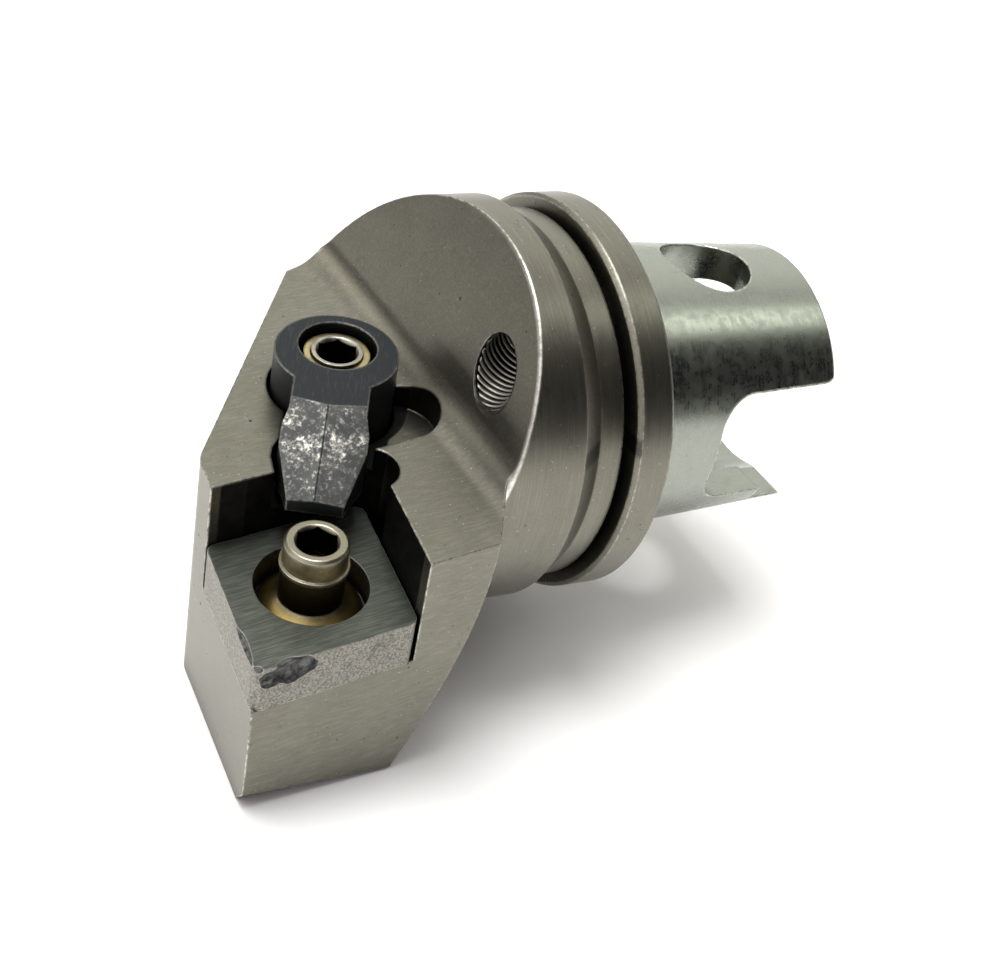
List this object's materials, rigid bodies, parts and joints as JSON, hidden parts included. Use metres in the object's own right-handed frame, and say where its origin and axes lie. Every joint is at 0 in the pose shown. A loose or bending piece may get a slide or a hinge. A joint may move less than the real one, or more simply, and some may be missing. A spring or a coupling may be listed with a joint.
{
  "type": "modular cutting unit",
  "caption": "Modular turning head with a hollow taper shank, a flange, and a tilted seat for a rhombic insert with carbide shim, threaded lock pin and screwed top clamp; no insert fitted.",
  "frame": {"origin": "centre of the gauge plane, which is the rear face of the flange, on the shank axis", "axes": "+X along the shank towards its free end, -X towards the cutting corner, +Z on the rake side, -Y on the cutting side"},
  "size_m": [0.0551, 0.0379, 0.0352],
  "materials": {
    "ground_steel": "ground steel with fine grain and light wear",
    "carbide": "lapped grey carbide",
    "plated_pin": "worn yellow plating over steel",
    "black_oxide": "black oxide with worn edges",
    "plated_ring": "bright yellow plating",
    "screw_steel": "bright steel"
  },
  "bodies": {
    "body": {"body": "ground_steel", "shim": "carbide"},
    "clamp_carrier": {"clamp_ring": "plated_ring"},
    "clamp": {"clamp": "black_oxide"},
    "clamp_screw": {"clamp_screw": "screw_steel"},
    "lock_pin": {"lock_pin": "plated_pin"}
  },
  "joints": [
    {"name": "clamp_lift", "type": "slide", "parent": "body", "child": "clamp_carrier", "axis": [-0.0959, -0.0641, 0.9933], "range_m": [0, 0.003]},
    {"name": "clamp_swing", "type": "hinge", "parent": "clamp_carrier", "child": "clamp", "pos_m": [-0.02152, -0.00052, 0.00259], "axis": [-0.0959, -0.0641, 0.9933], "range_deg": [-1.5, 1.5]},
    {"name": "clamp_screw_turn", "type": "hinge", "parent": "clamp_carrier", "child": "clamp_screw", "pos_m": [-0.02152, -0.00052, 0.00259], "axis": [-0.0959, -0.0641, 0.9933], "range_deg": [0, 1550]},
    {"name": "lock_pin_turn", "type": "hinge", "parent": "body", "child": "lock_pin", "pos_m": [-0.02837, -0.01516, -0.00405], "axis": [-0.0959, -0.0641, 0.9933], "range_deg": [0, 360]}
  ],
  "couplings": [
    {"joint": "clamp_screw_turn", "follows": "clamp_lift", "rad_per_m": 8976}
  ]
}
